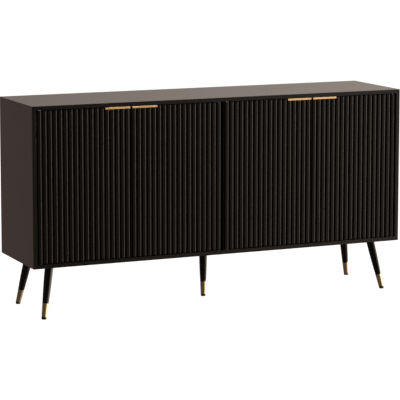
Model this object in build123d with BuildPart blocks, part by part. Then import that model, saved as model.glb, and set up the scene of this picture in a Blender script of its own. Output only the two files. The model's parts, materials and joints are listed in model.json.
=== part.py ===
from build123d import *
import os

# Overall sizes, in millimetres. X is the width, Y runs from the front to the back, Z is up.
# The origin is on the floor, under the middle of the cabinet.
WIDTH = 1500.0
DEPTH = 370.0
LEG_HEIGHT = 194.0
BODY_HEIGHT = 592.0
BOARD = 15.0

# Where the outside and the inside of the cabinet body end
HEIGHT = LEG_HEIGHT + BODY_HEIGHT
FRONT = -DEPTH / 2
BACK = DEPTH / 2
INNER_X = WIDTH / 2 - BOARD
INNER_BOTTOM = LEG_HEIGHT + BOARD
INNER_TOP = HEIGHT - BOARD
MIDDLE_Z = LEG_HEIGHT + BODY_HEIGHT / 2

# Thin back panels, which lie in a step cut round the back of the body
BACK_THICKNESS = 3.0
REBATE_DEPTH = 5.0
REBATE_WIDTH = 7.5
BACK_CLEARANCE = 0.5
BACK_STEP_Y = BACK - REBATE_DEPTH
BACK_SCREW_X = (60.0, 270.0, 480.0, 690.0)
BACK_SCREW_STEP_Z = 190.0

# Ribbed doors, set inside the body's front
DOOR_WIDTH = 361.0
RIB_COUNT = 18
RIB_PITCH = 20.0
RIB_WIDTH = 14.0
RIB_DEPTH = 6.0
RIB_ROUND = 3.0
SLAB_THICKNESS = 12.0
DOOR_RECESS = 3.0
DOOR_BOTTOM = INNER_BOTTOM + 2.0
DOOR_TOP = INNER_TOP - 2.5
SIDE_GAP = 3.0
CENTRE_GAP = 12.0
RIB_TIP_Y = FRONT + DOOR_RECESS
SLAB_FRONT_Y = RIB_TIP_Y + RIB_DEPTH
DOOR_BACK_Y = SLAB_FRONT_Y + SLAB_THICKNESS

# Pivots: a pin stands in the top and in the bottom of each door, and turns in a flanged bush
PIVOT_INSET = 10.5
PIVOT_Y = SLAB_FRONT_Y
PIN_RADIUS = 3.0
PIN_RUNNING_CLEARANCE = 0.03
PIN_IN_DOOR = 12.0
PIN_IN_BUSH = 9.0
BUSH_RADIUS = 5.0
BUSH_DEPTH = 10.0
BUSH_FLANGE_RADIUS = 7.0
UPPER_FLANGE = 1.0
LOWER_FLANGE = 1.9

# Angled handles that sit on the top edge of each door
HANDLE_LENGTH = 97.5
HANDLE_INSET = 2.5
HANDLE_SHEET = 1.5
HANDLE_LIP = 6.5
HANDLE_PROUD = 8.0
HANDLE_BACK_Y = DOOR_BACK_Y - 2.0
HANDLE_FRONT_Y = RIB_TIP_Y - HANDLE_PROUD
HANDLE_TOP = DOOR_TOP + HANDLE_SHEET
HANDLE_BEND = 1.0
HANDLE_SCREW_OFFSET = 30.0

# Magnetic catches under the top, one for each pair of doors
CATCH_WIDTH = 56.0
CATCH_DEPTH = 14.0
CATCH_HEIGHT = 14.0
CATCH_GAP = 0.3
CATCH_SCREW_OFFSET = 18.0
CATCH_SCREW_FROM_BACK = 5.0
MAGNET_WIDTH = 14.0
MAGNET_DEPTH = 3.0
MAGNET_HEIGHT = 8.0
STRIKE_WIDTH = 16.0
STRIKE_HEIGHT = 10.0
STRIKE_SHEET = 1.0
STRIKE_FROM_EDGE = 12.0
STRIKE_Z = DOOR_TOP - 6.5
CATCH_FRONT_Y = DOOR_BACK_Y + STRIKE_SHEET + CATCH_GAP

# Upright divider and shelves
DIVIDER_FRONT_Y = DOOR_BACK_Y + 4.0
SHELF_FRONT_Y = DOOR_BACK_Y + 14.0
SHELF_BACK_Y = BACK_STEP_Y - 2.0
SHELF_END_CLEARANCE = 0.5
SHELF_BOTTOM = MIDDLE_Z - BOARD / 2
SHELF_PIN_RADIUS = 2.5
SHELF_PIN_INSERT = 6.5
SHELF_PIN_REACH = 8.0
SHELF_PIN_Y = (-125.0, 140.0)
SHELF_HOLE_STEP = 64.0
SHELF_PIN_Z = SHELF_BOTTOM - SHELF_PIN_RADIUS

# Joint hardware of the body
MITRE_DOWEL_RADIUS = 2.5
MITRE_DOWEL_LENGTH = 12.0
MITRE_DOWEL_Y = (-130.0, 0.0, 130.0)
DOWEL_RADIUS = 4.0
DOWEL_IN_DIVIDER = 20.0
DOWEL_IN_PANEL = 10.0
DOWEL_Y = (-70.0, 90.0)
CAM_RADIUS = 7.5
CAM_THICKNESS = 12.0
CAM_FROM_END = 24.0
CAM_Y = (-110.0, 130.0)
CAM_SLOT_RADIUS = 3.5
CAM_BOLT_RADIUS = 3.0
CAM_BOLT_HEAD_RADIUS = 3.4
CAM_BOLT_THREAD_RADIUS = 2.5
CAM_BOLT_THREAD = 11.0
CAM_BOLT_HEAD = 3.0
CAM_BOLT_HEAD_AT = CAM_FROM_END - 1.0

# Round tapered legs: four lean out towards the corners and one stands upright in the middle
FOOT_X = 700.0
FOOT_Y = 149.0
SPLAY = 36.0
LEG_TOE_RADIUS = 9.2
LEG_WAIST_RADIUS = 11.7
LEG_SHOULDER_RADIUS = 15.0
LEG_HEAD_RADIUS = 16.0
LEG_SHOULDER_AT = 130.0
FERRULE_TOP = 58.0
FERRULE_WALL = 1.0
GLIDE_HEIGHT = 8.0
GLIDE_ROUND_AT = 5.0
GLIDE_FLAT_RADIUS = 5.0
GLIDE_TRIM = 2.0
GLIDE_SHOULDER = (8.0, 1.6)
GLIDE_SPIGOT_RADIUS = 2.5
GLIDE_SPIGOT = 12.0

# Steel plates let into the underside of the body, with a bolt that holds each leg
PLATE_SIZE = 60.0
PLATE_CORNER = 5.0
PLATE_THICKNESS = 2.5
PLATE_SCREW_OFFSET = 23.0
HANGER_RADIUS = 4.0
HANGER_IN_LEG = 28.0
HANGER_IN_BODY = 10.0

# Screw outlines as (radius, distance) from the seat of the head along the screw
PLATE_SCREW = ((0, 0), (3.2, 0), (1.75, 1.6), (1.75, 11), (0, 12))
DOOR_SCREW = ((0, 0), (2.75, 0), (1.5, 1.25), (1.5, 11), (0, 12))
CATCH_SCREW = ((0, 0), (2.75, 0), (1.5, 1.25), (1.5, 21), (0, 22))
BACK_SCREW = ((0, -1.2), (2.0, -1.2), (2.75, 0), (1.25, 0), (1.25, 10), (0, 11.5))

UP = (0, 0, 1)
DOWN = (0, 0, -1)
FORWARD = (0, -1, 0)

# Each door: the middle of its width, and the side that it hangs on (-1 left, 1 right)
OUTER_MIDDLE = INNER_X - SIDE_GAP - DOOR_WIDTH / 2
INNER_MIDDLE = CENTRE_GAP / 2 + DOOR_WIDTH / 2
DOORS = {
    "left_outer": (-OUTER_MIDDLE, -1),
    "left_inner": (-INNER_MIDDLE, 1),
    "right_inner": (INNER_MIDDLE, -1),
    "right_outer": (OUTER_MIDDLE, 1),
}
SEAM_X = (OUTER_MIDDLE + INNER_MIDDLE) / 2

# Each leg: which way its foot stands from the middle of the cabinet
LEGS = {
    "front_left": (-1, -1),
    "front_right": (1, -1),
    "back_left": (-1, 1),
    "back_right": (1, 1),
    "centre": (0, 0),
}


def finish(piece, label):
    """Name a finished piece and write it to its own file."""
    piece.label = label
    export_step(piece, f"parts/{label}.step")


def axial_plane(point, direction):
    """Plane through a point whose own Y axis runs along a direction."""
    along = Vector(*direction).normalized()
    reference = Vector(0, 1, 0) if abs(along.X) > abs(along.Z) else Vector(1, 0, 0)
    normal = reference.cross(along).normalized()
    return Plane(origin=point, x_dir=along.cross(normal), z_dir=normal)


def turned(point, direction, outline, mode=Mode.ADD):
    """Turn a closed outline of (radius, distance) points about a line from a point."""
    plane = axial_plane(point, direction)
    with BuildSketch(plane) as half:
        with BuildLine():
            Polyline(*outline, close=True)
        make_face()
    revolve(half.sketch, axis=Axis(plane.origin, plane.y_dir), mode=mode)


def rod(point, direction, radius, start, end, mode=Mode.ADD):
    """Round bar or hole along a line, from one distance to another."""
    turned(point, direction, ((0, start), (radius, start), (radius, end), (0, end)), mode)


def block(x_range, y_range, z_range, mode=Mode.ADD):
    """Rectangular block or cut-out between two limits along each axis."""
    with BuildSketch(Plane.XY.offset(z_range[0])) as base:
        with Locations(((x_range[0] + x_range[1]) / 2, (y_range[0] + y_range[1]) / 2)):
            Rectangle(x_range[1] - x_range[0], y_range[1] - y_range[0])
    extrude(base.sketch, amount=z_range[1] - z_range[0], mode=mode)


def around(centre, size):
    """Limits of a length that is centred on a place."""
    return (centre - size / 2, centre + size / 2)


# ---- places that several pieces share ----


def pivot_x(middle, side):
    """X of a door's pivot line."""
    return middle + side * (DOOR_WIDTH / 2 - PIVOT_INSET)


def handle_x(middle, side):
    """X of the middle of a door's handle, which ends a little short of the door's free edge."""
    return middle - side * ((DOOR_WIDTH - HANDLE_LENGTH) / 2 - HANDLE_INSET)


def strike_x(middle, side):
    """X of the middle of a door's strike plate."""
    return middle - side * (DOOR_WIDTH / 2 - STRIKE_FROM_EDGE)


def pivot_points(z):
    """The pivot line of every door, met at one height."""
    return [(pivot_x(middle, side), PIVOT_Y, z) for middle, side in DOORS.values()]


def leg_line(side_x, side_y):
    """Foot of a leg on the floor, and the vector from there to its head."""
    foot = Vector(side_x * FOOT_X, side_y * FOOT_Y, 0)
    head = Vector(side_x * (FOOT_X - SPLAY), side_y * (FOOT_Y - SPLAY), LEG_HEIGHT)
    return foot, head - foot


def leg_head(side_x, side_y):
    """Point where a leg's own line meets the underside of the body."""
    foot, along = leg_line(side_x, side_y)
    return foot + along


def plate_screw_points(side_x, side_y):
    """Screw places on one mounting plate, at the underside of the body."""
    head = leg_head(side_x, side_y)
    offsets = (-PLATE_SCREW_OFFSET, PLATE_SCREW_OFFSET)
    return [(head.X + dx, head.Y + dy, LEG_HEIGHT) for dx in offsets for dy in offsets]


def shelf_pin_walls():
    """Each wall that carries shelf pins: its X, and the way a pin stands out of it."""
    half = BOARD / 2
    return ((-INNER_X, 1), (-half, -1), (half, 1), (INNER_X, -1))


def catch_screw_points():
    """Screw places in the catches, at the bottom of each housing."""
    y = CATCH_FRONT_Y + CATCH_DEPTH - CATCH_SCREW_FROM_BACK
    z = INNER_TOP - CATCH_HEIGHT
    offsets = (-CATCH_SCREW_OFFSET, CATCH_SCREW_OFFSET)
    return [(seam + dx, y, z) for seam in (-SEAM_X, SEAM_X) for dx in offsets]


def back_screw_points():
    """Screw places round both back panels, on their outer face."""
    edge = REBATE_WIDTH / 2
    y = BACK_STEP_Y + BACK_THICKNESS
    rails = [
        (side * x, y, z)
        for side in (-1, 1)
        for x in BACK_SCREW_X
        for z in (INNER_BOTTOM - edge, INNER_TOP + edge)
    ]
    stiles = [
        (side * x, y, z)
        for side in (-1, 1)
        for x in (edge, INNER_X + edge)
        for z in (MIDDLE_Z - BACK_SCREW_STEP_Z, MIDDLE_Z, MIDDLE_Z + BACK_SCREW_STEP_Z)
    ]
    return rails + stiles


def mitre_lines(side_x, side_z):
    """Centres of one mitre's dowels, and the direction square to that mitre."""
    x = side_x * (INNER_X + BOARD / 2)
    z = MIDDLE_Z + side_z * (BODY_HEIGHT - BOARD) / 2
    return [(x, y, z) for y in MITRE_DOWEL_Y], (-side_x, 0, side_z)


def mitre_dowels(side_x, side_z, mode=Mode.ADD):
    """Dowels of one mitred corner, or the holes for them."""
    centres, direction = mitre_lines(side_x, side_z)
    for centre in centres:
        half = MITRE_DOWEL_LENGTH / 2
        rod(centre, direction, MITRE_DOWEL_RADIUS, -half, half, mode)


def divider_ends():
    """Height of each end of the divider, and the direction out of it."""
    return ((INNER_TOP, UP), (INNER_BOTTOM, DOWN))


def cam_bolt(point, direction, mode=Mode.ADD):
    """Bolt that stands in a panel and reaches into a cam in the divider."""
    outline = (
        (0, -CAM_BOLT_HEAD_AT - CAM_BOLT_HEAD),
        (CAM_BOLT_HEAD_RADIUS, -CAM_BOLT_HEAD_AT - CAM_BOLT_HEAD),
        (CAM_BOLT_HEAD_RADIUS, -CAM_BOLT_HEAD_AT),
        (CAM_BOLT_RADIUS, -CAM_BOLT_HEAD_AT),
        (CAM_BOLT_RADIUS, 0),
        (CAM_BOLT_THREAD_RADIUS, 0),
        (CAM_BOLT_THREAD_RADIUS, CAM_BOLT_THREAD),
        (0, CAM_BOLT_THREAD),
    )
    turned(point, direction, outline, mode)


def body_screws(outline, points, direction, mode=Mode.ADD):
    """Equal screws, or the holes for them."""
    for point in points:
        turned(point, direction, outline, mode)


def mitred_board(inner, outer):
    """Board with a mitre at both ends: its inner and outer edge as pairs of (x, z)."""
    with BuildSketch(Plane.XZ.offset(-FRONT)) as section:
        with BuildLine():
            Polyline(inner[0], inner[1], outer[1], outer[0], close=True)
        make_face()
    extrude(section.sketch, amount=-DEPTH)
    block(
        around(0, 2 * (INNER_X + REBATE_WIDTH)),
        (BACK_STEP_Y, BACK),
        (INNER_BOTTOM - REBATE_WIDTH, INNER_TOP + REBATE_WIDTH),
        Mode.SUBTRACT,
    )


os.makedirs("parts", exist_ok=True)

# ---- body: four mitred boards ----

with BuildPart() as top_panel:
    mitred_board(
        ((-INNER_X, INNER_TOP), (INNER_X, INNER_TOP)),
        ((-WIDTH / 2, HEIGHT), (WIDTH / 2, HEIGHT)),
    )
    for side in (-1, 1):
        mitre_dowels(side, 1, Mode.SUBTRACT)
    for point in pivot_points(INNER_TOP):
        rod(point, UP, BUSH_RADIUS, 0, BUSH_DEPTH, Mode.SUBTRACT)
    for y in DOWEL_Y:
        rod((0, y, INNER_TOP), UP, DOWEL_RADIUS, 0, DOWEL_IN_PANEL, Mode.SUBTRACT)
    for y in CAM_Y:
        rod((0, y, INNER_TOP), UP, CAM_BOLT_THREAD_RADIUS, 0, CAM_BOLT_THREAD, Mode.SUBTRACT)
    body_screws(CATCH_SCREW, catch_screw_points(), UP, Mode.SUBTRACT)
    body_screws(BACK_SCREW, back_screw_points(), FORWARD, Mode.SUBTRACT)
finish(top_panel.part, "top_panel")

with BuildPart() as bottom_panel:
    mitred_board(
        ((-INNER_X, INNER_BOTTOM), (INNER_X, INNER_BOTTOM)),
        ((-WIDTH / 2, LEG_HEIGHT), (WIDTH / 2, LEG_HEIGHT)),
    )
    for side in (-1, 1):
        mitre_dowels(side, -1, Mode.SUBTRACT)
    for point in pivot_points(INNER_BOTTOM):
        rod(point, DOWN, BUSH_RADIUS, 0, BUSH_DEPTH, Mode.SUBTRACT)
    for y in DOWEL_Y:
        rod((0, y, INNER_BOTTOM), DOWN, DOWEL_RADIUS, 0, DOWEL_IN_PANEL, Mode.SUBTRACT)
    for y in CAM_Y:
        rod((0, y, INNER_BOTTOM), DOWN, CAM_BOLT_THREAD_RADIUS, 0, CAM_BOLT_THREAD, Mode.SUBTRACT)
    for sides in LEGS.values():
        head = leg_head(*sides)
        with BuildSketch(Plane.XY.offset(LEG_HEIGHT)) as pocket:
            with Locations((head.X, head.Y)):
                RectangleRounded(PLATE_SIZE, PLATE_SIZE, PLATE_CORNER)
        extrude(amount=PLATE_THICKNESS, mode=Mode.SUBTRACT)
        rod(head, leg_line(*sides)[1], HANGER_RADIUS, 0, HANGER_IN_BODY, Mode.SUBTRACT)
        body_screws(PLATE_SCREW, plate_screw_points(*sides), UP, Mode.SUBTRACT)
    body_screws(BACK_SCREW, back_screw_points(), FORWARD, Mode.SUBTRACT)
finish(bottom_panel.part, "bottom_panel")

for side, name in ((-1, "left"), (1, "right")):
    with BuildPart() as side_panel:
        mitred_board(
            ((side * INNER_X, INNER_BOTTOM), (side * INNER_X, INNER_TOP)),
            ((side * WIDTH / 2, LEG_HEIGHT), (side * WIDTH / 2, HEIGHT)),
        )
        mitre_dowels(side, 1, Mode.SUBTRACT)
        mitre_dowels(side, -1, Mode.SUBTRACT)
        for y in SHELF_PIN_Y:
            for step in (-SHELF_HOLE_STEP, 0, SHELF_HOLE_STEP):
                mouth = (side * INNER_X, y, SHELF_PIN_Z + step)
                rod(mouth, (side, 0, 0), SHELF_PIN_RADIUS, 0, SHELF_PIN_INSERT, Mode.SUBTRACT)
        body_screws(BACK_SCREW, back_screw_points(), FORWARD, Mode.SUBTRACT)
    finish(side_panel.part, f"{name}_side_panel")

with BuildPart() as mitre_dowel_set:
    for side in (-1, 1):
        mitre_dowels(side, 1)
        mitre_dowels(side, -1)
finish(mitre_dowel_set.part, "mitre_dowels")

# ---- inside: divider, shelves and backs ----

with BuildPart() as centre_divider:
    block(around(0, BOARD), (DIVIDER_FRONT_Y, BACK_STEP_Y), (INNER_BOTTOM, INNER_TOP))
    for z, outward in divider_ends():
        for y in DOWEL_Y:
            rod((0, y, z), outward, DOWEL_RADIUS, -DOWEL_IN_DIVIDER, 0, Mode.SUBTRACT)
        for y in CAM_Y:
            cam_z = z - outward[2] * CAM_FROM_END
            rod((0, y, z), outward, CAM_SLOT_RADIUS, -CAM_FROM_END, 0, Mode.SUBTRACT)
            rod((-BOARD / 2, y, cam_z), (1, 0, 0), CAM_RADIUS, 0, CAM_THICKNESS, Mode.SUBTRACT)
    for face in (-1, 1):
        for y in SHELF_PIN_Y:
            for step in (-SHELF_HOLE_STEP, 0, SHELF_HOLE_STEP):
                mouth = (face * BOARD / 2, y, SHELF_PIN_Z + step)
                rod(mouth, (-face, 0, 0), SHELF_PIN_RADIUS, 0, SHELF_PIN_INSERT, Mode.SUBTRACT)
    body_screws(BACK_SCREW, back_screw_points(), FORWARD, Mode.SUBTRACT)
finish(centre_divider.part, "centre_divider")

with BuildPart() as divider_dowel_set:
    for z, outward in divider_ends():
        for y in DOWEL_Y:
            rod((0, y, z), outward, DOWEL_RADIUS, -DOWEL_IN_DIVIDER, DOWEL_IN_PANEL)
finish(divider_dowel_set.part, "divider_dowels")

with BuildPart() as cam_lock_set:
    for z, outward in divider_ends():
        for y in CAM_Y:
            cam_z = z - outward[2] * CAM_FROM_END
            rod((-BOARD / 2, y, cam_z), (1, 0, 0), CAM_RADIUS, 0, CAM_THICKNESS)
            slot_end = -CAM_BOLT_HEAD_AT - CAM_BOLT_HEAD - 1
            rod((0, y, z), outward, CAM_SLOT_RADIUS, slot_end, 0, Mode.SUBTRACT)
finish(cam_lock_set.part, "cam_locks")

with BuildPart() as cam_bolt_set:
    for z, outward in divider_ends():
        for y in CAM_Y:
            cam_bolt((0, y, z), outward)
finish(cam_bolt_set.part, "cam_bolts")

for side, name in ((-1, "left"), (1, "right")):
    near_x = side * (BOARD / 2 + SHELF_END_CLEARANCE)
    far_x = side * (INNER_X - SHELF_END_CLEARANCE)
    with BuildPart() as shelf:
        block(
            sorted((near_x, far_x)),
            (SHELF_FRONT_Y, SHELF_BACK_Y),
            (SHELF_BOTTOM, SHELF_BOTTOM + BOARD),
        )
    finish(shelf.part, f"{name}_shelf")

with BuildPart() as shelf_pin_set:
    for x, outward in shelf_pin_walls():
        for y in SHELF_PIN_Y:
            root = (x, y, SHELF_PIN_Z)
            rod(root, (outward, 0, 0), SHELF_PIN_RADIUS, -SHELF_PIN_INSERT, SHELF_PIN_REACH)
finish(shelf_pin_set.part, "shelf_pins")

for side, name in ((-1, "left"), (1, "right")):
    near_x = side * BACK_CLEARANCE
    far_x = side * (INNER_X + REBATE_WIDTH - BACK_CLEARANCE)
    lap = REBATE_WIDTH - BACK_CLEARANCE
    with BuildPart() as back_panel:
        block(
            sorted((near_x, far_x)),
            (BACK_STEP_Y, BACK_STEP_Y + BACK_THICKNESS),
            (INNER_BOTTOM - lap, INNER_TOP + lap),
        )
        body_screws(BACK_SCREW, back_screw_points(), FORWARD, Mode.SUBTRACT)
    finish(back_panel.part, f"{name}_back_panel")

with BuildPart() as back_screw_set:
    body_screws(BACK_SCREW, back_screw_points(), FORWARD)
finish(back_screw_set.part, "back_panel_screws")

# ---- bushes that the doors turn in ----


def bush(point, into_board, flange):
    """Flanged bush let into a board, open for a door's pin."""
    bore = PIN_RADIUS + PIN_RUNNING_CLEARANCE
    outline = (
        (bore, -flange),
        (BUSH_FLANGE_RADIUS, -flange),
        (BUSH_FLANGE_RADIUS, 0),
        (BUSH_RADIUS, 0),
        (BUSH_RADIUS, BUSH_DEPTH),
        (bore, BUSH_DEPTH),
    )
    turned(point, into_board, outline)


with BuildPart() as upper_bush_set:
    for point in pivot_points(INNER_TOP):
        bush(point, UP, UPPER_FLANGE)
finish(upper_bush_set.part, "upper_pivot_bushes")

with BuildPart() as lower_bush_set:
    for point in pivot_points(INNER_BOTTOM):
        bush(point, DOWN, LOWER_FLANGE)
finish(lower_bush_set.part, "lower_pivot_bushes")

# ---- magnetic catches ----


def magnet(middle, side, mode=Mode.ADD):
    """Magnet that faces a door's strike plate, or the pocket for it."""
    block(
        around(strike_x(middle, side), MAGNET_WIDTH),
        (CATCH_FRONT_Y, CATCH_FRONT_Y + MAGNET_DEPTH),
        around(STRIKE_Z, MAGNET_HEIGHT),
        mode,
    )


for side, name in ((-1, "left"), (1, "right")):
    with BuildPart() as catch:
        block(
            around(side * SEAM_X, CATCH_WIDTH),
            (CATCH_FRONT_Y, CATCH_FRONT_Y + CATCH_DEPTH),
            (INNER_TOP - CATCH_HEIGHT, INNER_TOP),
        )
        for middle, hang in DOORS.values():
            magnet(middle, hang, Mode.SUBTRACT)
        body_screws(CATCH_SCREW, catch_screw_points(), UP, Mode.SUBTRACT)
    finish(catch.part, f"{name}_catch_housing")

with BuildPart() as magnet_set:
    for middle, hang in DOORS.values():
        magnet(middle, hang)
finish(magnet_set.part, "catch_magnets")

with BuildPart() as catch_screw_set:
    body_screws(CATCH_SCREW, catch_screw_points(), UP)
finish(catch_screw_set.part, "catch_screws")

# ---- doors ----


def handle_screw_points(middle, side):
    """Screw places on the top flange of a door's handle."""
    x = handle_x(middle, side)
    y = DOOR_BACK_Y - SLAB_THICKNESS / 2
    return [(x + dx, y, HANDLE_TOP) for dx in (-HANDLE_SCREW_OFFSET, HANDLE_SCREW_OFFSET)]


def strike_screw_points(middle, side):
    """Screw place on a door's strike plate."""
    return [(strike_x(middle, side), DOOR_BACK_Y + STRIKE_SHEET, STRIKE_Z)]


def door_screws(middle, side, mode=Mode.ADD):
    """Screws of one door's handle and strike plate, or the holes for them."""
    body_screws(DOOR_SCREW, handle_screw_points(middle, side), DOWN, mode)
    body_screws(DOOR_SCREW, strike_screw_points(middle, side), FORWARD, mode)


for name, (middle, hang) in DOORS.items():
    pivot = pivot_x(middle, hang)

    with BuildPart() as door_panel:
        with BuildSketch(Plane.XY.offset(DOOR_BOTTOM)) as section:
            with Locations((middle, DOOR_BACK_Y - SLAB_THICKNESS / 2)):
                Rectangle(DOOR_WIDTH, SLAB_THICKNESS)
            with Locations((middle, SLAB_FRONT_Y)):
                with GridLocations(RIB_PITCH, 0, RIB_COUNT, 1):
                    Rectangle(RIB_WIDTH, 2 * RIB_DEPTH)
            fillet(section.vertices().group_by(Axis.Y)[0], radius=RIB_ROUND)
        extrude(amount=DOOR_TOP - DOOR_BOTTOM)
        rod((pivot, PIVOT_Y, DOOR_TOP), DOWN, PIN_RADIUS, 0, PIN_IN_DOOR, Mode.SUBTRACT)
        rod((pivot, PIVOT_Y, DOOR_BOTTOM), UP, PIN_RADIUS, 0, PIN_IN_DOOR, Mode.SUBTRACT)
        door_screws(middle, hang, Mode.SUBTRACT)
    finish(door_panel.part, f"{name}_door_panel")

    with BuildPart() as pivot_pins:
        upper_end = INNER_TOP + PIN_IN_BUSH
        lower_end = INNER_BOTTOM - PIN_IN_BUSH
        rod((pivot, PIVOT_Y, 0), UP, PIN_RADIUS, DOOR_TOP - PIN_IN_DOOR, upper_end)
        rod((pivot, PIVOT_Y, 0), UP, PIN_RADIUS, lower_end, DOOR_BOTTOM + PIN_IN_DOOR)
    finish(pivot_pins.part, f"{name}_pivot_pins")

    with BuildPart() as handle:
        left_end = handle_x(middle, hang) - HANDLE_LENGTH / 2
        with BuildSketch(Plane.YZ.offset(left_end)) as angle:
            with BuildLine():
                Polyline(
                    (HANDLE_BACK_Y, DOOR_TOP),
                    (HANDLE_BACK_Y, HANDLE_TOP),
                    (HANDLE_FRONT_Y, HANDLE_TOP),
                    (HANDLE_FRONT_Y, HANDLE_TOP - HANDLE_LIP),
                    (HANDLE_FRONT_Y + HANDLE_SHEET, HANDLE_TOP - HANDLE_LIP),
                    (HANDLE_FRONT_Y + HANDLE_SHEET, DOOR_TOP),
                    close=True,
                )
            make_face()
            fillet(angle.vertices().group_by(Axis.X)[0].sort_by(Axis.Y)[-1], radius=HANDLE_BEND)
        extrude(amount=HANDLE_LENGTH)
        door_screws(middle, hang, Mode.SUBTRACT)
    finish(handle.part, f"{name}_door_handle")

    with BuildPart() as strike_plate:
        block(
            around(strike_x(middle, hang), STRIKE_WIDTH),
            (DOOR_BACK_Y, DOOR_BACK_Y + STRIKE_SHEET),
            around(STRIKE_Z, STRIKE_HEIGHT),
        )
        door_screws(middle, hang, Mode.SUBTRACT)
    finish(strike_plate.part, f"{name}_strike_plate")

    with BuildPart() as screw_set:
        door_screws(middle, hang)
    finish(screw_set.part, f"{name}_door_screws")

# ---- legs ----


def leg_radius(distance):
    """Outer radius of the straight lower part of a leg, at a distance along it."""
    return LEG_TOE_RADIUS + (LEG_WAIST_RADIUS - LEG_TOE_RADIUS) * distance / FERRULE_TOP


for name, sides in LEGS.items():
    foot, along = leg_line(*sides)
    plane = axial_plane(foot, along)
    centre_line = Axis(plane.origin, plane.y_dir)
    core_toe = leg_radius(GLIDE_HEIGHT) - FERRULE_WALL
    core_waist = LEG_WAIST_RADIUS - FERRULE_WALL
    beyond_head = along.length + LEG_HEAD_RADIUS

    with BuildPart() as leg:
        with BuildSketch(plane) as half:
            with BuildLine():
                Polyline(
                    (0, beyond_head),
                    (0, GLIDE_HEIGHT),
                    (core_toe, GLIDE_HEIGHT),
                    (core_waist, FERRULE_TOP),
                    (LEG_WAIST_RADIUS, FERRULE_TOP),
                )
                ThreePointArc(
                    (LEG_WAIST_RADIUS, FERRULE_TOP),
                    (LEG_SHOULDER_RADIUS, LEG_SHOULDER_AT),
                    (LEG_HEAD_RADIUS, beyond_head),
                )
                Line((LEG_HEAD_RADIUS, beyond_head), (0, beyond_head))
            make_face()
        revolve(axis=centre_line)
        split(bisect_by=Plane.XY.offset(LEG_HEIGHT), keep=Keep.BOTTOM)
        rod(leg_head(*sides), along, HANGER_RADIUS, -HANGER_IN_LEG, HANGER_IN_BODY, Mode.SUBTRACT)
        rod(foot, along, GLIDE_SPIGOT_RADIUS, 0, GLIDE_HEIGHT + GLIDE_SPIGOT, Mode.SUBTRACT)
    finish(leg.part, f"{name}_leg")

    with BuildPart() as ferrule:
        outline = (
            (core_toe, GLIDE_HEIGHT),
            (core_toe + FERRULE_WALL, GLIDE_HEIGHT),
            (LEG_WAIST_RADIUS, FERRULE_TOP),
            (core_waist, FERRULE_TOP),
        )
        turned(foot, along, outline)
    finish(ferrule.part, f"{name}_ferrule")

    with BuildPart() as glide:
        with BuildSketch(plane) as half:
            with BuildLine():
                Polyline(
                    (0, -GLIDE_TRIM),
                    (0, GLIDE_HEIGHT + GLIDE_SPIGOT),
                    (GLIDE_SPIGOT_RADIUS, GLIDE_HEIGHT + GLIDE_SPIGOT),
                    (GLIDE_SPIGOT_RADIUS, GLIDE_HEIGHT),
                    (leg_radius(GLIDE_HEIGHT), GLIDE_HEIGHT),
                    (leg_radius(GLIDE_ROUND_AT), GLIDE_ROUND_AT),
                )
                ThreePointArc(
                    (leg_radius(GLIDE_ROUND_AT), GLIDE_ROUND_AT),
                    GLIDE_SHOULDER,
                    (GLIDE_FLAT_RADIUS, -GLIDE_TRIM),
                )
                Line((GLIDE_FLAT_RADIUS, -GLIDE_TRIM), (0, -GLIDE_TRIM))
            make_face()
        revolve(axis=centre_line)
        split(bisect_by=Plane.XY, keep=Keep.TOP)
    finish(glide.part, f"{name}_glide")

with BuildPart() as plate_set:
    for sides in LEGS.values():
        head = leg_head(*sides)
        with BuildSketch(Plane.XY.offset(LEG_HEIGHT)) as outline:
            with Locations((head.X, head.Y)):
                RectangleRounded(PLATE_SIZE, PLATE_SIZE, PLATE_CORNER)
        extrude(amount=PLATE_THICKNESS)
        rod(head, leg_line(*sides)[1], HANGER_RADIUS, -PLATE_THICKNESS, HANGER_IN_BODY, Mode.SUBTRACT)
        body_screws(PLATE_SCREW, plate_screw_points(*sides), UP, Mode.SUBTRACT)
finish(plate_set.part, "leg_mounting_plates")

with BuildPart() as hanger_bolt_set:
    for sides in LEGS.values():
        head = leg_head(*sides)
        rod(head, leg_line(*sides)[1], HANGER_RADIUS, -HANGER_IN_LEG, HANGER_IN_BODY)
finish(hanger_bolt_set.part, "hanger_bolts")

with BuildPart() as plate_screw_set:
    for sides in LEGS.values():
        body_screws(PLATE_SCREW, plate_screw_points(*sides), UP)
finish(plate_screw_set.part, "plate_screws")
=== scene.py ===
"""Looks of a low sideboard with ribbed doors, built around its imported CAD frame.

The boards, doors, handles, legs and hardware each get a mesh class or a finish class here. Everything is
in metres, in the frame's own axes: X is the width, -Y is the front and Z is up.
"""

from __future__ import annotations

import json
import logging
import math
from dataclasses import dataclass, field
from enum import Enum

import bmesh
import bpy
from mathutils import Matrix, Vector

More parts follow.
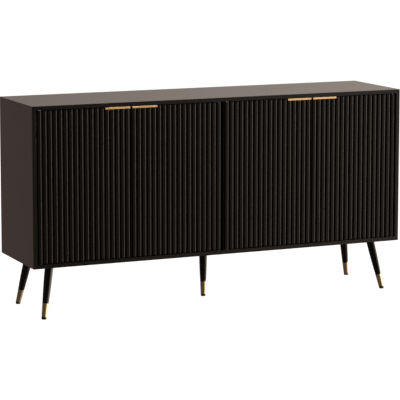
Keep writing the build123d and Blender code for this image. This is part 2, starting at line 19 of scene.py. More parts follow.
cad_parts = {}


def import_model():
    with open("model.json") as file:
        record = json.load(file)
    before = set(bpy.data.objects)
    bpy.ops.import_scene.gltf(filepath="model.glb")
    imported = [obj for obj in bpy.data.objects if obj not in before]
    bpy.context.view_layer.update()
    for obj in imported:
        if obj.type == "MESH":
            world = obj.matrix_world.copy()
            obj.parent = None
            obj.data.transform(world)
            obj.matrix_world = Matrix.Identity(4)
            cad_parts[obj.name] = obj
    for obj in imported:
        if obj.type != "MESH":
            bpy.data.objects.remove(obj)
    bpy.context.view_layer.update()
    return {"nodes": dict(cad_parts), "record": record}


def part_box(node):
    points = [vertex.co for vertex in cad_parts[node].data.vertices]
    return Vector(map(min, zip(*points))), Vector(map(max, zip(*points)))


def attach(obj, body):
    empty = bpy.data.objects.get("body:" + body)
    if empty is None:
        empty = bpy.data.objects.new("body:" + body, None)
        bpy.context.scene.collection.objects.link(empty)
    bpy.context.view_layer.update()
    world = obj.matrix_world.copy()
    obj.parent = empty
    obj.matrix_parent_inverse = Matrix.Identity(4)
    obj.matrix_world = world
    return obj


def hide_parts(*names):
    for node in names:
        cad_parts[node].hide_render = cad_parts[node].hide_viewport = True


MM = 0.001
# Edges that turn by more than this stay crisp, and the rest are shaded smooth.
CRISP_ANGLE = math.radians(32)
# Full weight on the larger faces, so a narrow eased edge doesn't bend the shading of the flat beside it.
FLAT_FACE_WEIGHT = 100
# A radius below this is a point on the lathe's axis.
ON_AXIS = 0.0001 * MM
# Nearly all of a noise pattern lies between these two values.
NOISE_LOW = 0.3
NOISE_HIGH = 0.7
# Share of each finer layer of noise, and how many layers the tone and the relief have.
NOISE_SHARE = 0.6
TONE_LAYERS = 3.0
RELIEF_LAYERS = 2.0
DOOR_NAMES = ("left_outer", "left_inner", "right_inner", "right_outer")
LEG_NAMES = ("front_left", "front_right", "back_left", "back_right", "centre")

log = logging.getLogger("sideboard")


class Grain(Enum):
    """Axis that a board's grain or a metal's brushing runs along."""

    WIDTH = 0
    HEIGHT = 2


def linear(colour: str) -> tuple[float, float, float, float]:
    """Turn an sRGB hex value into linear light.

    Args:
        colour: Six hex digits, red first.

    Returns:
        Linear red, green and blue, and an alpha of 1.
    """
    parts = [int(colour[i : i + 2], 16) / 255 for i in (0, 2, 4)]
    light = [c / 12.92 if c <= 0.04045 else ((c + 0.055) / 1.055) ** 2.4 for c in parts]
    return (light[0], light[1], light[2], 1.0)


def add_node(
    tree: bpy.types.NodeTree,
    kind: str,
    inputs: dict[str | int, object] | None = None,
    **settings: object,
) -> bpy.types.Node:
    """Add a node, set its properties, and fill or link its inputs.

    Args:
        tree: Node tree that the node joins.
        kind: Blender's own name for the node type.
        inputs: Values, or other nodes' output sockets, by input name or number.
        **settings: Properties of the node.

    Returns:
        The new node.
    """
    node = tree.nodes.new(kind)
    for name, value in settings.items():
        setattr(node, name, value)
    for name, value in (inputs or {}).items():
        if isinstance(value, bpy.types.NodeSocket):
            tree.links.new(value, node.inputs[name])
        else:
            node.inputs[name].default_value = value
    return node


def stretched(grain: Grain, across: float, along: float) -> tuple[float, float, float]:
    """Scale of a pattern that is long in one direction.

    Args:
        grain: Axis that the pattern is drawn out along.
        across: Size of one mark across that axis, in millimetres.
        along: Length of one mark along it, in millimetres.

    Returns:
        Marks per metre on each axis.
    """
    scale = [1 / (across * MM)] * 3
    scale[grain.value] = 1 / (along * MM)
    return (scale[0], scale[1], scale[2])


@dataclass(frozen=True)
class Finish:
    """A surface finish: colour mottled between two tones, a sheen that varies, and a fine relief.

    Attributes:
        name: What the finish really is.
        dark: Deeper tone, sRGB hex.
        light: Lighter tone, sRGB hex.
        roughness: Lowest and highest roughness.
        tone_mm: Size of a patch of tone across and along the grain.
        relief_mm: Size of a mark of the relief across and along the grain.
        relief_depth: Depth of the relief in millimetres.
        grain: Axis that both patterns run along.
        metallic: 1 for bare metal.
        ior: Index of refraction; a metal keeps the shader's own.
        specular: Strength of the mirror-like part at a square view, 0.5 for a bare dielectric.
    """

    name: str
    dark: str
    light: str
    roughness: tuple[float, float]
    tone_mm: tuple[float, float]
    relief_mm: tuple[float, float]
    relief_depth: float
    grain: Grain = Grain.WIDTH
    metallic: float = 0.0
    ior: float = 1.5
    specular: float = 0.5

    def pattern(
        self, tree: bpy.types.NodeTree, size: tuple[float, float], layers: float
    ) -> bpy.types.NodeSocket:
        """Draw one layer of noise, drawn out along the grain.

        Args:
            tree: Material's node tree.
            size: Size of a mark across and along the grain, in millimetres.
            layers: How many finer layers ride on the marks.

        Returns:
            Socket that holds the noise, from 0 to 1.
        """
        place = add_node(tree, "ShaderNodeTexCoord")
        mapped = add_node(
            tree,
            "ShaderNodeMapping",
            {"Vector": place.outputs["Object"], "Scale": stretched(self.grain, *size)},
        )
        noise = add_node(
            tree,
            "ShaderNodeTexNoise",
            {
                "Vector": mapped.outputs["Vector"],
                "Scale": 1.0,
                "Detail": layers,
                "Roughness": NOISE_SHARE,
            },
        )
        return noise.outputs["Fac"]

    def material(self) -> bpy.types.Material:
        """Build the finish as a node material.

        Returns:
            The new material.
        """
        made = bpy.data.materials.new(self.name)
        made.use_nodes = True
        tree = made.node_tree
        shader = tree.nodes["Principled BSDF"]
        tone = self.pattern(tree, self.tone_mm, TONE_LAYERS)
        relief = self.pattern(tree, self.relief_mm, RELIEF_LAYERS)
        ramp = add_node(tree, "ShaderNodeValToRGB", {"Fac": tone})
        ramp.color_ramp.elements[0].position = NOISE_LOW
        ramp.color_ramp.elements[0].color = linear(self.dark)
        ramp.color_ramp.elements[1].position = NOISE_HIGH
        ramp.color_ramp.elements[1].color = linear(self.light)
        sheen = add_node(
            tree,
            "ShaderNodeMapRange",
            {
                "Value": tone,
                "From Min": NOISE_LOW,
                "From Max": NOISE_HIGH,
                "To Min": self.roughness[0],
                "To Max": self.roughness[1],
            },
        )
        bump = add_node(
            tree,
            "ShaderNodeBump",
            {"Strength": 1.0, "Distance": self.relief_depth * MM, "Height": relief},
        )
        tree.links.new(ramp.outputs["Color"], shader.inputs["Base Color"])
        tree.links.new(sheen.outputs["Result"], shader.inputs["Roughness"])
        tree.links.new(bump.outputs["Normal"], shader.inputs["Normal"])
        shader.inputs["Metallic"].default_value = self.metallic
        if not self.metallic:
            shader.inputs["IOR"].default_value = self.ior
            shader.inputs["Specular IOR Level"].default_value = self.specular
        return made


# Melamine foil on board: a deep black-brown with a faint printed grain, pressed with a fine pore that
# keeps its sheen soft. Across a low view it picks up a warm grey from whatever is behind.
BODY_FOIL = Finish(
    "black-brown melamine foil",
    dark="1A1211",
    light="221917",
    roughness=(0.24, 0.27),
    tone_mm=(6.0, 180.0),
    relief_mm=(1.2, 14.0),
    relief_depth=0.006,
    specular=0.32,
)
# The same foil laid with its grain upright, so the side panels' faint streaks run up and down.
SIDE_FOIL = Finish(
    "black-brown melamine foil, upright grain",
    dark="1A1211",
    light="221917",
    roughness=(0.24, 0.27),
    tone_mm=(6.0, 180.0),
    relief_mm=(1.2, 14.0),
    relief_depth=0.006,
    specular=0.32,
    grain=Grain.HEIGHT,
)
# The lipping on the boards' front edges: extruded ABS in an even black that hides the board behind it, drawn
# darker than the foil as painted shade, since these front faces catch less light.
SHADED_EDGE_BAND = Finish(
    "black ABS edge band with painted shade",
    dark="0B0908",
    light="120F0D",
    roughness=(0.16, 0.21),
    tone_mm=(4.0, 60.0),
    relief_mm=(1.2, 14.0),
    relief_depth=0.004,
    ior=1.53,
)
# Sprayed lacquer on milled board: near black and smoother than the foil, with only a trace of orange
# peel, so a narrow highlight runs up each rib's shoulder.
DOOR_LACQUER = Finish(
    "black sprayed lacquer",
    dark="15120E",
    light="1C1814",
    roughness=(0.08, 0.12),
    tone_mm=(9.0, 60.0),
    relief_mm=(1.5, 2.5),
    relief_depth=0.002,
    specular=0.3,
    grain=Grain.HEIGHT,
)
# A duller lacquer on turned wood: deep black, with a trace of the wood's pores along the leg.
LEG_LACQUER = Finish(
    "black lacquered beech",
    dark="060606",
    light="0B0B0A",
    roughness=(0.20, 0.28),
    tone_mm=(2.5, 40.0),
    relief_mm=(0.6, 9.0),
    relief_depth=0.004,
    specular=0.3,
    grain=Grain.HEIGHT,
)
# Brushed and lacquered brass: a warm gold whose long fine scratches spread the highlight.
HANDLE_BRASS = Finish(
    "satin brass",
    dark="F8CC8C",
    light="FFDCA2",
    roughness=(0.42, 0.50),
    tone_mm=(2.0, 40.0),
    relief_mm=(0.3, 25.0),
    relief_depth=0.002,
    metallic=1.0,
)
# Turned brass: a duller gold than the handles and a little smoother, with fine rings left by the tool.
FERRULE_BRASS = Finish(
    "turned brass",
    dark="BCA983",
    light="CFBB95",
    roughness=(0.36, 0.44),
    tone_mm=(8.0, 1.6),
    relief_mm=(6.0, 0.4),
    relief_depth=0.002,
    grain=Grain.HEIGHT,
    metallic=1.0,
)
# Moulded polypropylene: an even black with the mould's fine spark texture.
GLIDE_PLASTIC = Finish(
    "black moulded polypropylene",
    dark="060606",
    light="0B0B0B",
    roughness=(0.42, 0.55),
    tone_mm=(3.0, 3.0),
    relief_mm=(0.4, 0.4),
    relief_depth=0.02,
    ior=1.49,
)
# Moulded nylon: a dark grey-black with a fine dull texture.
NYLON = Finish(
    "black nylon",
    dark="151515",
    light="1D1D1D",
    roughness=(0.38, 0.50),
    tone_mm=(2.0, 2.0),
    relief_mm=(0.5, 0.5),
    relief_depth=0.01,
    ior=1.53,
)
# Bright zinc plate on steel: a cool grey with a faint cloudy bloom.
ZINC_PLATE = Finish(
    "zinc-plated steel",
    dark="A6A8AC",
    light="C9CBCD",
    roughness=(0.28, 0.45),
    tone_mm=(4.0, 4.0),
    relief_mm=(0.4, 0.4),
    relief_depth=0.006,
    metallic=1.0,
)
# Zinc straight from the die: darker and duller than the plated parts, with a grainy skin.
CAST_ZINC = Finish(
    "die-cast zinc",
    dark="8E9094",
    light="A9ABAE",
    roughness=(0.45, 0.60),
    tone_mm=(3.0, 3.0),
    relief_mm=(0.5, 0.5),
    relief_depth=0.03,
    metallic=1.0,
)
# Fired ferrite: a dull slate grey, ground flat on its face.
FERRITE = Finish(
    "ground ferrite",
    dark="2C2D30",
    light="3C3D40",
    roughness=(0.55, 0.70),
    tone_mm=(1.0, 1.0),
    relief_mm=(0.3, 0.3),
    relief_depth=0.02,
    ior=2.0,
)
# Turned beech, raw: pale pink-brown with short dark flecks along the grain.
BEECH = Finish(
    "raw beech",
    dark="B98A5E",
    light="D3AA7D",
    roughness=(0.55, 0.70),
    tone_mm=(0.8, 8.0),
    relief_mm=(0.4, 5.0),
    relief_depth=0.03,
)
# Printed hardboard: a thin dark brown coat over pressed fibre, with a slight leathery mottle.
HARDBOARD = Finish(
    "printed hardboard",
    dark="2B2320",
    light="3A302B",
    roughness=(0.55, 0.70),
    tone_mm=(14.0, 90.0),
    relief_mm=(1.0, 1.0),
    relief_depth=0.03,
    grain=Grain.HEIGHT,
)


def cut_loose(name: str, mesh: bmesh.types.BMesh, finish: bpy.types.Material) -> bpy.types.Object:
    """Turn a working mesh into an object of the scene.

    Args:
        name: Name of the piece.
        mesh: Working mesh, which is used up.
        finish: Material that covers it.

    Returns:
        The new object, smooth except across its sharp edges.
    """
    bmesh.ops.recalc_face_normals(mesh, faces=mesh.faces[:])
    data = bpy.data.meshes.new(name)
    mesh.to_mesh(data)
    mesh.free()
    data.polygons.foreach_set("use_smooth", [True] * len(data.polygons))
    data.set_sharp_from_angle(angle=CRISP_ANGLE)
    data.materials.append(finish)
    piece = bpy.data.objects.new(name, data)
    bpy.context.scene.collection.objects.link(piece)
    flat = piece.modifiers.new("flat faces stay flat", "WEIGHTED_NORMAL")
    flat.keep_sharp = True
    flat.weight = FLAT_FACE_WEIGHT
    return piece


def install(piece: bpy.types.Object, node: str, body: str) -> None:
    """Let a piece stand for a CAD node.

    Args:
        piece: Piece that is in place.
        node: CAD node that it replaces.
        body: Body that it rides on.
    """
    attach(piece, body)
    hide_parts(node)
    log.info("built %s", piece.name)


def turned_solid(
    name: str,
    outline: list[tuple[float, float]],
    axis: Matrix,
    finish: bpy.types.Material,
    turns: int = 64,
) -> bpy.types.Object:
    """Turn an outline about an axis, as on a lathe.

    Args:
        name: Name of the piece.
        outline: Points of (radius, distance along the axis), a closed loop or ending on the axis.
        axis: Placement whose own Z axis is the lathe's.
        finish: Material that covers it.
        turns: Number of facets round the axis.

    Returns:
        The new object.
    """
    mesh = bmesh.new()
    rings: list[list[bmesh.types.BMVert]] = []
    for radius, distance in outline:
        if radius < ON_AXIS:
            rings.append([mesh.verts.new(axis @ Vector((0, 0, distance)))])
            continue
        angles = [2 * math.pi * i / turns for i in range(turns)]
        points = [Vector((radius * math.cos(a), radius * math.sin(a), distance)) for a in angles]
        rings.append([mesh.verts.new(axis @ point) for point in points])
    closed = len(rings[0]) > 1 and len(rings[-1]) > 1
    pairs = list(zip(rings, rings[1:]))
    if closed:
        pairs.append((rings[-1], rings[0]))
    for low, high in pairs:
        for i in range(turns):
            j = (i + 1) % turns
            corners = [low[i % len(low)], low[j % len(low)], high[j % len(high)], high[i % len(high)]]
            unique = list(dict.fromkeys(corners))
            if len(unique) > 2:
                mesh.faces.new(unique)
    return cut_loose(name, mesh, finish)


@dataclass
class Boards:
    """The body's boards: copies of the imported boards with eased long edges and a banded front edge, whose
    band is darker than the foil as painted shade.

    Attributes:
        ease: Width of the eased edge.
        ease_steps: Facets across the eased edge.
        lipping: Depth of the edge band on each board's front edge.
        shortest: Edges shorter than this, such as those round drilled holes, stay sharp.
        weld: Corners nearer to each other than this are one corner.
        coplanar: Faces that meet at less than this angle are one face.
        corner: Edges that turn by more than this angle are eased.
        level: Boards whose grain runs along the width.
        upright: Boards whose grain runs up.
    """

    ease: float = 0.5 * MM
    ease_steps: int = 2
    lipping: float = 1.0 * MM
    shortest: float = 40 * MM
    weld: float = 0.001 * MM
    coplanar: float = math.radians(1)
    corner: float = math.radians(30)
    level: dict[str, str] = field(
        default_factory=lambda: {
            "top_panel": "body_board",
            "bottom_panel": "body_board",
            "left_shelf": "inner_board",
            "right_shelf": "inner_board",
        }
    )
    upright: dict[str, str] = field(
        default_factory=lambda: {
            "left_side_panel": "body_board",
            "right_side_panel": "body_board",
            "centre_divider": "inner_board",
        }
    )

    def eased(self, name: str, source: bpy.types.Mesh, finish: bpy.types.Material) -> bpy.types.Object:
        """Copy a packed board and ease its long edges.

        Args:
            name: Name of the new piece.
            source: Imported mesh, which is left as it is.
            finish: Material that covers the copy.

        Returns:
            The eased board.
        """
        mesh = bmesh.new()
        mesh.from_mesh(source)
        bmesh.ops.remove_doubles(mesh, verts=mesh.verts[:], dist=self.weld)
        bmesh.ops.dissolve_limit(
            mesh,
            angle_limit=self.coplanar,
            verts=mesh.verts[:],
            edges=mesh.edges[:],
            use_dissolve_boundaries=False,
        )
        long_edges = [
            edge
            for edge in mesh.edges
            if len(edge.link_faces) == 2
            and edge.calc_length() > self.shortest
            and edge.calc_face_angle() > self.corner
        ]
        bmesh.ops.bevel(
            mesh,
            geom=long_edges,
            offset=self.ease,
            offset_type="OFFSET",
            segments=self.ease_steps,
            profile=0.5,
            affect="EDGES",
            clamp_overlap=False,
        )
        bmesh.ops.triangulate(mesh, faces=[f for f in mesh.faces if len(f.verts) > 4])
        return cut_loose(name, mesh, finish)

    def lip(self, board: bpy.types.Object, band: bpy.types.Material) -> None:
        """Cover a board's front edge with its edge band, which is darker than the foil as painted shade.

        Args:
            board: Board to finish.
            band: Material of the edge band, darker than the foil as painted shade.
        """
        board.data.materials.append(band)
        front = min(vertex.co.y for vertex in board.data.vertices) + self.lipping
        for face in board.data.polygons:
            if face.center.y < front:
                face.material_index = 1

    def build(self, nodes: dict[str, bpy.types.Object]) -> None:
        """Make every board and set it in place of its packed one.

        Args:
            nodes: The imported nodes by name.
        """
        # The edge band is darker than the foil: painted shade on the boards' front edges.
        band = SHADED_EDGE_BAND.material()
        finishes = ((self.level, BODY_FOIL.material()), (self.upright, SIDE_FOIL.material()))
        for boards, finish in finishes:
            for node, slot in boards.items():
                board = self.eased(f"{node}_board", nodes[node].data, finish)
                self.lip(board, band)
                install(board, node, "carcass")


@dataclass
class RibbedDoor:
    """One door: a flat slab with a row of upright ribs whose shoulders are rounded.

    Attributes:
        name: Which door it is.
        ribs: Number of ribs.
        pitch: Distance from rib to rib.
        rib_width: Width of a rib at its foot.
        rib_depth: How far a rib stands out of the slab.
        shoulder: Radius of a rib's shoulders.
        ease: Size of the chamfer round the ends.
        arc_steps: Facets on each shoulder.
    """

    name: str
    ribs: int = 18
    pitch: float = 20 * MM
    rib_width: float = 14 * MM
    rib_depth: float = 6 * MM
    shoulder: float = 3 * MM
    ease: float = 0.6 * MM
    arc_steps: int = 7

    def outline(self, low: Vector, high: Vector, inset: float) -> list[tuple[float, float]]:
        """Draw the door's section, seen from above.

        Args:
            low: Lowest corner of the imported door.
            high: Highest corner of it.
            inset: How much smaller the section is all round, for a chamfered end.

        Returns:
            Points of (x, y) round the section.
        """
        middle = (low.x + high.x) / 2
        front, back = low.y + inset, high.y - inset
        slab = low.y + self.rib_depth + inset
        half = self.rib_width / 2 - inset
        radius = self.shoulder - inset
        quarter = [math.pi / 2 * k / self.arc_steps for k in range(self.arc_steps + 1)]
        growing = [radius * (1 - math.cos(a)) for a in quarter]
        shrinking = [radius * (1 - math.sin(a)) for a in quarter]
        points = [(high.x - inset, back), (low.x + inset, back), (low.x + inset, slab)]
        for i in range(self.ribs):
            x = middle + (i - (self.ribs - 1) / 2) * self.pitch
            points.append((x - half, slab))
            points += [(x - half + g, front + s) for g, s in zip(growing, shrinking)]
            points += [(x + half - s, front + g) for g, s in zip(growing, shrinking)]
            points.append((x + half, slab))
        points.append((high.x - inset, slab))
        return points

    def build(self, finish: bpy.types.Material) -> None:
        """Make the door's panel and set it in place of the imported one.

        Args:
            finish: Material that covers it.
        """
        node = f"{self.name}_door_panel"
        low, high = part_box(node)
        levels = (
            (low.z, self.ease),
            (low.z + self.ease, 0.0),
            (high.z - self.ease, 0.0),
            (high.z, self.ease),
        )
        mesh = bmesh.new()
        rings = [
            [mesh.verts.new((x, y, z)) for x, y in self.outline(low, high, inset)] for z, inset in levels
        ]
        for lower, upper in zip(rings, rings[1:]):
            for i, corner in enumerate(lower):
                j = (i + 1) % len(lower)
                mesh.faces.new((corner, lower[j], upper[j], upper[i]))
        mesh.faces.new(rings[0])
        mesh.faces.new(rings[-1])
        panel = cut_loose(f"{self.name}_ribbed_panel", mesh, finish)
        install(panel, node, f"{self.name}_door")


@dataclass
class TurnedLeg:
    """One leg: tapered turned wood, a brass ferrule with rolled rims, and a domed glide.

    Attributes:
        name: Which leg it is.
        ferrule_low: Distance along the leg where the ferrule starts.
        ferrule_high: Distance where it ends.
        toe_radius: Radius of the leg's line carried down to the floor.
        waist_radius: Radius at the ferrule's top.
        shoulder_radius: Radius at the shoulder.
        shoulder_at: Distance of the shoulder.
        head_radius: Radius at the body.
        curve_steps: Facets along the arc from the ferrule to the head.
        recess: How much thinner the wood is inside the ferrule.
        wall: Thickness of the ferrule.
        rim: Size of the ferrule's rolled rims.
        roll: Share of the rim's size at which its bend has its middle point.
        dome_at: Distance where the glide's dome starts.
        dome_flat: Radius of the flat under the dome.
        dome_width: How much wider the dome is than its flat.
        dome_drop: Height of the dome, the part that the floor cuts off included.
        dome_steps: Facets down the dome.
        rim_depth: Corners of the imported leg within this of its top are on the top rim.
    """

    name: str
    ferrule_low: float = 8 * MM
    ferrule_high: float = 58 * MM
    toe_radius: float = 9.2 * MM
    waist_radius: float = 11.7 * MM
    shoulder_radius: float = 15.0 * MM
    shoulder_at: float = 130 * MM
    head_radius: float = 16.0 * MM
    curve_steps: int = 14
    recess: float = 1.2 * MM
    wall: float = 1.0 * MM
    rim: float = 0.5 * MM
    roll: float = 0.3
    dome_at: float = 5 * MM
    dome_flat: float = 5 * MM
    dome_width: float = 4.4 * MM
    dome_drop: float = 7 * MM
    dome_steps: int = 8
    rim_depth: float = 0.01 * MM

    def axis(self, record: dict, leg: bpy.types.Object) -> tuple[Matrix, float]:
        """Find the leg's own line from its foot mount to the middle of its head.

        Args:
            record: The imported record.
            leg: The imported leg.

        Returns:
            Placement at the foot with Z along the leg, and the leg's length.
        """
        mount = f"{self.name}_foot"
        foot = Vector(next(m["pos_m"] for m in record["mounts"] if m["name"] == mount))
        top = max(v.co.z for v in leg.data.vertices)
        rim = [v.co for v in leg.data.vertices if v.co.z > top - self.rim_depth]
        low = Vector((min(c.x for c in rim), min(c.y for c in rim), top))
        high = Vector((max(c.x for c in rim), max(c.y for c in rim), top))
        along = (low + high) / 2 - foot
        return Matrix.Translation(foot) @ along.to_track_quat("Z", "Y").to_matrix().to_4x4(), along.length

    def radius(self, distance: float) -> float:
        """Outer radius of the straight lower part at a distance along the leg."""
        return self.toe_radius + (self.waist_radius - self.toe_radius) * distance / self.ferrule_high

    def upper_curve(self, end: float) -> list[tuple[float, float]]:
        """Draw the arc from the ferrule to the head: the parabola through three radii.

        Args:
            end: Distance where the arc stops.

        Returns:
            Points of (radius, distance), with the ferrule's end first.
        """
        stations = (
            (self.waist_radius, self.ferrule_high),
            (self.shoulder_radius, self.shoulder_at),
            (self.head_radius, end),
        )
        points = []
        for k in range(self.curve_steps + 1):
            s = self.ferrule_high + (end - self.ferrule_high) * k / self.curve_steps
            total = 0.0
            for i, (value, at) in enumerate(stations):
                others = [place for j, (_, place) in enumerate(stations) if j != i]
                total += value * math.prod((s - place) / (at - place) for place in others)
            points.append((total, s))
        return points

    def build(
        self, record: dict, nodes: dict[str, bpy.types.Object], finishes: dict[str, bpy.types.Material]
    ) -> None:
        """Make the leg, its ferrule and its glide and set them in place.

        Args:
            record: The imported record.
            nodes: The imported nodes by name.
            finishes: Materials of the leg, the ferrule and the glide.
        """
        leg_node = nodes[f"{self.name}_leg"]
        axis, length = self.axis(record, leg_node)
        ceiling = max(v.co.z for v in leg_node.data.vertices)
        overrun = self.head_radius
        wood = [(0.0, self.ferrule_low), (self.radius(self.ferrule_low) - self.recess, self.ferrule_low)]
        wood.append((self.waist_radius - self.recess, self.ferrule_high))
        wood += self.upper_curve(length + overrun)
        wood.append((0.0, length + overrun))
        leg = turned_solid(f"{self.name}_turned_leg", wood, axis, finishes["leg"])
        self.trim(leg, Vector((0, 0, ceiling)), Vector((0, 0, 1)))
        install(leg, f"{self.name}_leg", "carcass")

        low_r, high_r = self.radius(self.ferrule_low), self.waist_radius
        bend = self.rim * self.roll
        tube = [
            (low_r - self.wall, self.ferrule_low),
            (low_r - self.rim, self.ferrule_low),
            (low_r - bend, self.ferrule_low + bend),
            (self.radius(self.ferrule_low + self.rim), self.ferrule_low + self.rim),
            (self.radius(self.ferrule_high - self.rim), self.ferrule_high - self.rim),
            (high_r - bend, self.ferrule_high - bend),
            (high_r - self.rim, self.ferrule_high),
            (high_r - self.wall, self.ferrule_high),
        ]
        ferrule = turned_solid(f"{self.name}_turned_ferrule", tube, axis, finishes["ferrule"])
        install(ferrule, f"{self.name}_ferrule", "carcass")

        dome = [(0.0, self.ferrule_low), (low_r, self.ferrule_low), (self.radius(self.dome_at), self.dome_at)]
        for k in range(1, self.dome_steps + 1):
            a = math.pi / 2 * k / self.dome_steps
            out, down = self.dome_width * math.cos(a), self.dome_drop * math.sin(a)
            dome.append((self.dome_flat + out, self.dome_at - down))
        dome.append((0.0, self.dome_at - self.dome_drop))
        glide = turned_solid(f"{self.name}_domed_glide", dome, axis, finishes["glide"])
        self.trim(glide, Vector((0, 0, 0)), Vector((0, 0, -1)))
        install(glide, f"{self.name}_glide", "carcass")

    @staticmethod
    def trim(piece: bpy.types.Object, point: Vector, away: Vector) -> None:
        """Saw off whatever lies beyond a plane and cap the cut.

        Args:
            piece: Piece to cut.
            point: Point on the plane.
            away: Direction of the waste side.
        """
        mesh = bmesh.new()
        mesh.from_mesh(piece.data)
        geometry = mesh.verts[:] + mesh.edges[:] + mesh.faces[:]
        cut = bmesh.ops.bisect_plane(mesh, geom=geometry, plane_co=point, plane_no=away, clear_outer=True)
        rim = [e for e in cut["geom_cut"] if isinstance(e, bmesh.types.BMEdge)]
        bmesh.ops.contextual_create(mesh, geom=rim)
        bmesh.ops.recalc_face_normals(mesh, faces=mesh.faces[:])
        mesh.to_mesh(piece.data)
        mesh.free()
        piece.data.set_sharp_from_angle(angle=CRISP_ANGLE)


@dataclass
class Hardware:
    """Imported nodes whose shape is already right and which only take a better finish.

    Attributes:
        finishes: Finish of each node, by the end of the node's name.
    """

    finishes: dict[str, Finish] = field(
        default_factory=lambda: {
            "_door_handle": HANDLE_BRASS,
            "_pivot_pins": ZINC_PLATE,
            "_strike_plate": ZINC_PLATE,
            "_screws": ZINC_PLATE,
            "_bolts": ZINC_PLATE,
            "shelf_pins": ZINC_PLATE,
            "_mounting_plates": ZINC_PLATE,
            "cam_locks": CAST_ZINC,
            "_bushes": NYLON,
            "_catch_housing": NYLON,
            "catch_magnets": FERRITE,
            "_dowels": BEECH,
            "_back_panel": HARDBOARD,
        }
    )

    def dress(self, nodes: dict[str, bpy.types.Object]) -> None:
        """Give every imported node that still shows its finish.

        Args:
            nodes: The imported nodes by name.
        """
        made = {finish.name: finish.material() for finish in self.finishes.values()}
        for name, node in sorted(nodes.items()):
            if node.hide_render:
                continue
            finish = next(f for end, f in self.finishes.items() if name.endswith(end))
            for i in range(len(node.material_slots)):
                node.material_slots[i].material = made[finish.name]
            log.info("dressed %s in %s", name, finish.name)


@dataclass
class Softbox:
    """A rectangular studio light.

    Attributes:
        name: What it is called.
        place: Where it stands.
        aim: Point that it faces.
        size: Width and height.
        power: Watts.
        warmth: Colour of its light, sRGB hex.
        mirrored: Whether glossy surfaces show it.
    """

    name: str
    place: tuple[float, float, float]
    aim: tuple[float, float, float]
    size: tuple[float, float]
    power: float
    warmth: str
    mirrored: bool = True

    def build(self) -> None:
        """Hang the light."""
        lamp = bpy.data.lights.new(self.name, "AREA")
        lamp.shape = "RECTANGLE"
        lamp.size, lamp.size_y = self.size
        lamp.energy = self.power
        lamp.color = linear(self.warmth)[:3]
        holder = bpy.data.objects.new(self.name, lamp)
        holder.location = self.place
        holder.rotation_euler = (Vector(self.aim) - Vector(self.place)).to_track_quat("-Z", "Y").to_euler()
        holder.visible_glossy = self.mirrored
        bpy.context.scene.collection.objects.link(holder)


class Toward(Enum):
    """Direction of the room, by the letter of its axis."""

    RIGHT = "X"
    BEHIND = "Y"
    UP = "Z"


@dataclass(frozen=True)
class Rise:
    """A smooth rise of the room's brightness from 0, as a direction turns one way.

    Attributes:
        toward: Way that it rises.
        start: Share of that way where it begins, from -1 to 1.
        end: Share where it is complete; a lower one than start makes it fall instead.
        top: Brightness where it is complete.
    """

    toward: Toward
    start: float
    end: float
    top: float = 1.0


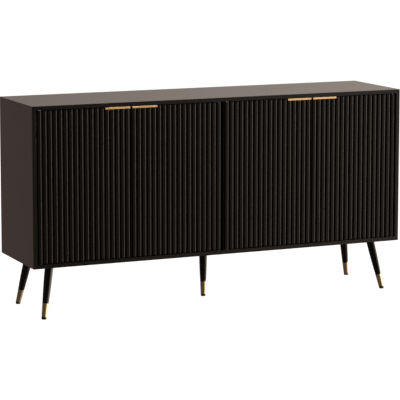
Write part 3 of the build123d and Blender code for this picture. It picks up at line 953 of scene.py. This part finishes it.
@dataclass
class Studio:
    """A room that is brighter to the right and behind, three softboxes, a pale floor and the camera.

    Attributes:
        floor_half: Half the side of the floor.
        floor_grey: How much light the floor sends back.
        floor_roughness: Roughness of the floor.
        floor_glow: Light of the floor's own, which keeps it pale under the cabinet.
        warmth: Colour of the room's light, sRGB hex.
        dim: Brightness of the room where nothing is lit.
        slope: Wall that brightens softly towards the right.
        panel: Bright panel further to the right.
        panel_front: Where the panel starts, going round from the front.
        panel_foot: Where the panel starts, going up.
        panel_head: Where the panel stops, just above the horizon.
        rear: Bright part of the wall behind.
        rear_foot: Where that part starts, going up.
        rear_side: Where that part starts, going right.
        wall: Faint light of the wall behind at every height.
        softboxes: The three lights.
        aim: Point that the camera faces.
        distance: How far the camera stands from that point.
        azimuth: Side it stands on, in degrees; 0 is straight in front and minus is to the left.
        elevation: How far above the horizon it stands, in degrees.
        focal_length: Focal length in millimetres.
        sensor: Width of the camera's sensor in millimetres.
        shift: Lens shift that keeps the uprights nearly parallel.
        sight: How far the camera sees.
    """

    floor_half: float = 40.0
    floor_grey: float = 0.08
    floor_roughness: float = 0.9
    floor_glow: float = 0.97
    warmth: str = "FFF1E4"
    dim: float = 0.11
    slope: Rise = Rise(Toward.RIGHT, 0.30, 0.56, 0.55)
    panel: Rise = Rise(Toward.RIGHT, 0.50, 0.75, 8.5)
    panel_front: Rise = Rise(Toward.BEHIND, -0.9, -0.3)
    panel_foot: Rise = Rise(Toward.UP, -0.38, 0.04)
    panel_head: Rise = Rise(Toward.UP, 0.15, 0.0)
    rear: Rise = Rise(Toward.BEHIND, 0.0, 0.7, 0.65)
    rear_foot: Rise = Rise(Toward.UP, -0.1, 0.2)
    rear_side: Rise = Rise(Toward.RIGHT, 0.08, 0.6)
    wall: Rise = Rise(Toward.BEHIND, 0.3, 0.8, 0.10)
    softboxes: tuple[Softbox, ...] = (
        Softbox("overhead softbox", (0.0, 0.9, 3.4), (0.0, 0.0, 0.5), (3.0, 2.0), 165.0, "FFEEDD"),
        Softbox(
            "left softbox", (-3.8, 0.6, 0.5), (-0.7, 0.0, 0.5), (2.4, 1.0), 125.0, "FFC4BC", mirrored=False
        ),
        Softbox("right softbox", (3.4, -3.0, 1.8), (0.4, 0.0, 0.6), (1.0, 1.4), 48.0, "FFEEDD"),
    )
    aim: tuple[float, float, float] = (-0.011, 0.005, 0.605)
    distance: float = 7.617
    azimuth: float = -23.693
    elevation: float = 7.383
    focal_length: float = 179.736
    sensor: float = 36.0
    shift: float = -0.15
    sight: float = 200.0

    def floor(self) -> None:
        """Lay the pale floor, which hardly takes a shadow."""
        mesh = bmesh.new()
        bmesh.ops.create_grid(mesh, x_segments=1, y_segments=1, size=self.floor_half)
        data = bpy.data.meshes.new("studio_floor")
        mesh.to_mesh(data)
        mesh.free()
        paper = bpy.data.materials.new("white paper")
        paper.use_nodes = True
        shader = paper.node_tree.nodes["Principled BSDF"]
        shader.inputs["Base Color"].default_value = (self.floor_grey,) * 3 + (1.0,)
        shader.inputs["Roughness"].default_value = self.floor_roughness
        shader.inputs["Emission Color"].default_value = (1.0, 1.0, 1.0, 1.0)
        shader.inputs["Emission Strength"].default_value = self.floor_glow
        data.materials.append(paper)
        floor = bpy.data.objects.new("studio_floor", data)
        floor.visible_glossy = False
        floor.visible_diffuse = False
        bpy.context.scene.collection.objects.link(floor)

    def backdrop(self) -> None:
        """Light the room from behind and from the right; the camera itself sees plain white."""
        world = bpy.data.worlds.new("studio")
        world.use_nodes = True
        tree = world.node_tree
        place = add_node(tree, "ShaderNodeTexCoord")
        parts = add_node(tree, "ShaderNodeSeparateXYZ", {"Vector": place.outputs["Generated"]})
        rises = (
            self.slope,
            self.panel,
            self.panel_front,
            self.panel_foot,
            self.panel_head,
            self.wall,
            self.rear,
            self.rear_foot,
            self.rear_side,
        )
        slope, panel, front, foot, head, wall, rear, rear_foot, rear_side = (
            add_node(
                tree,
                "ShaderNodeMapRange",
                {
                    "Value": parts.outputs[rise.toward.value],
                    "From Min": rise.start,
                    "From Max": rise.end,
                    "To Min": 0.0,
                    "To Max": rise.top,
                },
                interpolation_type="SMOOTHSTEP",
            ).outputs["Result"]
            for rise in rises
        )
        height = add_node(tree, "ShaderNodeMath", {0: foot, 1: head}, operation="MULTIPLY")
        strip = add_node(tree, "ShaderNodeMath", {0: panel, 1: front}, operation="MULTIPLY")
        lit = add_node(
            tree,
            "ShaderNodeMath",
            {0: strip.outputs["Value"], 1: height.outputs["Value"], 2: slope},
            operation="MULTIPLY_ADD",
        )
        above = add_node(tree, "ShaderNodeMath", {0: rear, 1: rear_foot}, operation="MULTIPLY")
        back = add_node(
            tree,
            "ShaderNodeMath",
            {0: above.outputs["Value"], 1: rear_side, 2: wall},
            operation="MULTIPLY_ADD",
        )
        brighter = add_node(
            tree,
            "ShaderNodeMath",
            {0: lit.outputs["Value"], 1: back.outputs["Value"]},
            operation="MAXIMUM",
        )
        glow = add_node(tree, "ShaderNodeMath", {0: brighter.outputs["Value"], 1: self.dim}, operation="ADD")
        room = add_node(
            tree, "ShaderNodeBackground", {"Color": linear(self.warmth), "Strength": glow.outputs["Value"]}
        )
        white = add_node(tree, "ShaderNodeBackground", {"Color": (1.0, 1.0, 1.0, 1.0), "Strength": 1.0})
        ray = add_node(tree, "ShaderNodeLightPath")
        seen = add_node(
            tree,
            "ShaderNodeMixShader",
            {0: ray.outputs["Is Camera Ray"], 1: room.outputs["Background"], 2: white.outputs["Background"]},
        )
        tree.links.new(seen.outputs["Shader"], tree.nodes["World Output"].inputs["Surface"])
        bpy.context.scene.world = world

    def camera(self) -> None:
        """Set up the camera, level apart from its pitch."""
        lens = bpy.data.cameras.new("camera")
        lens.lens = self.focal_length
        lens.sensor_width = self.sensor
        lens.shift_y = self.shift
        lens.clip_end = self.sight
        turn, climb = math.radians(self.azimuth), math.radians(self.elevation)
        back = Vector((math.sin(turn) * math.cos(climb), -math.cos(turn) * math.cos(climb), math.sin(climb)))
        eye = bpy.data.objects.new("camera", lens)
        eye.location = Vector(self.aim) + back * self.distance
        eye.rotation_euler = (-back).to_track_quat("-Z", "Y").to_euler()
        bpy.context.scene.collection.objects.link(eye)
        bpy.context.scene.camera = eye

    def build(self) -> None:
        """Set up the whole studio."""
        self.floor()
        self.backdrop()
        for box in self.softboxes:
            box.build()
        self.camera()
        bpy.context.scene.view_settings.view_transform = "Standard"
        log.info("studio is set up")


def main() -> None:
    """Load the frame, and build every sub-assembly around it."""
    logging.basicConfig(level=logging.INFO, format="%(message)s")
    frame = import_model()
    nodes = frame["nodes"]
    Boards().build(nodes)
    lacquer = DOOR_LACQUER.material()
    for name in DOOR_NAMES:
        RibbedDoor(name).build(lacquer)
    leg_finishes = {
        "leg": LEG_LACQUER.material(),
        "ferrule": FERRULE_BRASS.material(),
        "glide": GLIDE_PLASTIC.material(),
    }
    for name in LEG_NAMES:
        TurnedLeg(name).build(frame["record"], nodes, leg_finishes)
    Hardware().dress(nodes)
    Studio().build()


if __name__ == "__main__":
    main()
